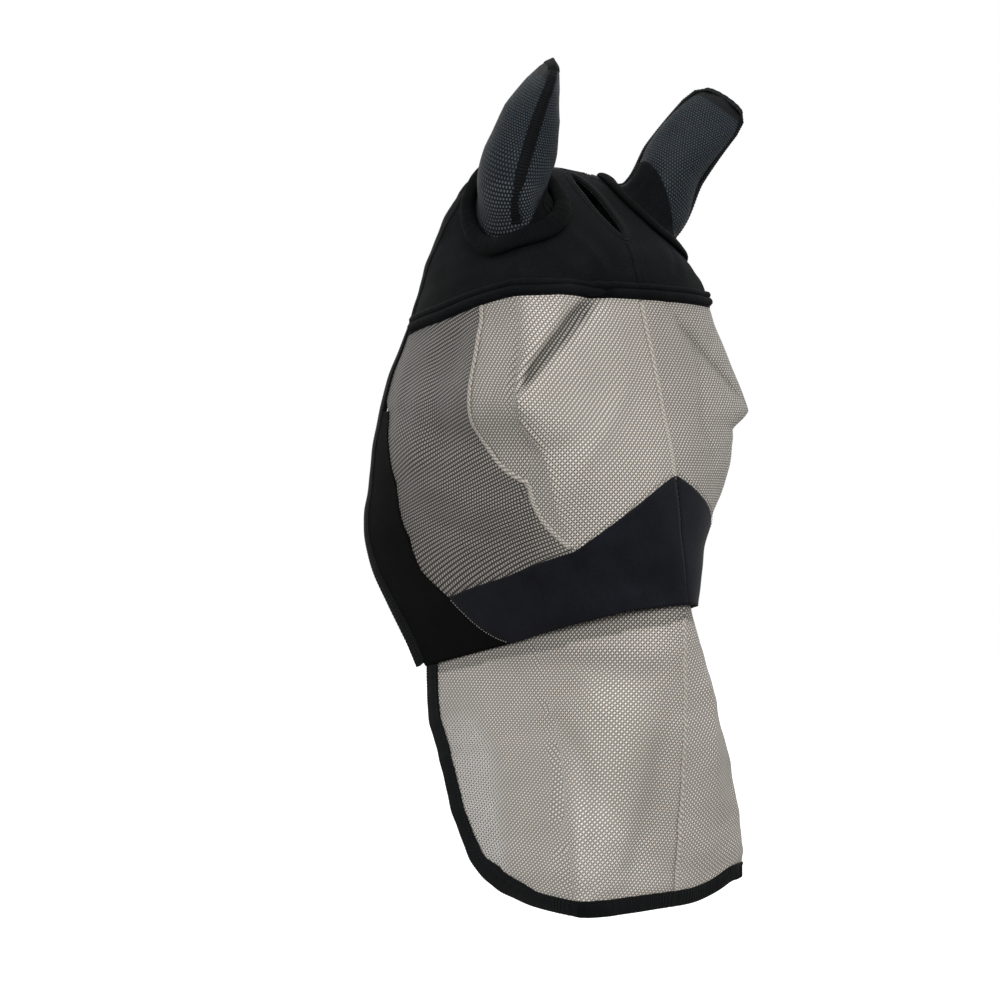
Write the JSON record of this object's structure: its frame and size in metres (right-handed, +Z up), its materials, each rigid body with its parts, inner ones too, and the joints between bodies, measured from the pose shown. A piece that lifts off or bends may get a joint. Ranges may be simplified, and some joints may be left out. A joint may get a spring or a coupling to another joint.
{
  "type": "horse fly mask",
  "caption": "Horse fly mask with a soft crown, two net ears, woven mesh eye panels, noseband, jaw panels with closing straps and a mesh nose flap.",
  "frame": {"origin": "the poll: the top of the crown between the ears, where the mask sits on the head", "axes": "+Z up the head, -Y the way the face looks, -X the horse's right side"},
  "size_m": [0.3, 0.3742, 0.7563],
  "materials": {
    "crown_cloth": "soft matt stretch cloth, black",
    "poll_band": "ribbed elastic band, black",
    "ear_net": "open hexagonal net, black",
    "padded_collar": "padded soft cloth, black",
    "face_mesh": "open woven coated-yarn mesh, beige",
    "nose_mesh": "open woven coated-yarn mesh, beige",
    "mesh_seam": "folded mesh seam, beige",
    "noseband_cloth": "smooth knitted cloth, black",
    "jaw_cloth": "soft matt cloth, black",
    "hook_tape": "hook tape, black",
    "loop_tape": "loop tape, black",
    "strap_cloth": "soft cloth strap, black",
    "binding_tape": "folded woven binding, black"
  },
  "bodies": {
    "hood": {"crown_right": "crown_cloth", "crown_left": "crown_cloth", "poll_band": "poll_band", "crown_seam": "binding_tape", "forelock_binding": "binding_tape", "brow_hem_right": "binding_tape", "brow_hem_left": "binding_tape", "ear_collar_right": "padded_collar", "ear_collar_left": "padded_collar", "eye_mesh_front_right": "face_mesh", "eye_mesh_front_left": "face_mesh", "eye_mesh_rear_right": "face_mesh", "eye_mesh_rear_left": "face_mesh", "eye_seam_tape_right": "mesh_seam", "eye_seam_tape_left": "mesh_seam", "face_seam": "mesh_seam", "noseband_right": "noseband_cloth", "noseband_left": "noseband_cloth", "jaw_panel_right": "jaw_cloth", "jaw_panel_left": "jaw_cloth", "rear_binding_right": "binding_tape", "rear_binding_left": "binding_tape", "throat_loop_patch": "loop_tape", "jaw_loop_patch": "loop_tape"},
    "ear_right": {"ear_front_right": "ear_net", "ear_back_right": "ear_net", "ear_binding_right": "binding_tape"},
    "ear_left": {"ear_front_left": "ear_net", "ear_back_left": "ear_net", "ear_binding_left": "binding_tape"},
    "nose_flap": {"nose_mesh_right": "nose_mesh", "nose_mesh_left": "nose_mesh", "nose_seam": "mesh_seam", "nose_top_tape": "binding_tape", "nose_binding": "binding_tape"},
    "throat_closure": {"throat_strap": "strap_cloth", "throat_hook_patch": "hook_tape"},
    "jaw_closure": {"jaw_strap": "strap_cloth", "jaw_hook_patch": "hook_tape"}
  },
  "joints": [
    {"name": "ear_right_tilt", "type": "hinge", "parent": "hood", "child": "ear_right", "pos_m": [-0.0854, -0.0266, -0.0363], "axis": [0.7506, -0.3398, 0.5667], "range_deg": [-12, 12], "stiffness_Nm_per_rad": 0.15},
    {"name": "ear_left_tilt", "type": "hinge", "parent": "hood", "child": "ear_left", "pos_m": [0.0854, -0.0266, -0.0363], "axis": [0.7506, 0.3398, -0.5667], "range_deg": [-12, 12], "stiffness_Nm_per_rad": 0.15},
    {"name": "nose_flap_lift", "type": "hinge", "parent": "hood", "child": "nose_flap", "pos_m": [0, -0.163, -0.404], "axis": [-1, 0, 0], "range_deg": [0, 20], "stiffness_Nm_per_rad": 0.8},
    {"name": "throat_strap_open", "type": "hinge", "parent": "hood", "child": "throat_closure", "pos_m": [-0.064, 0.191, -0.285], "axis": [-0.073, -0.2329, 0.9697], "range_deg": [0, 110]},
    {"name": "jaw_strap_open", "type": "hinge", "parent": "hood", "child": "jaw_closure", "pos_m": [-0.0575, 0.186, -0.379], "axis": [-0.044, 0.51, 0.859], "range_deg": [0, 110]}
  ]
}
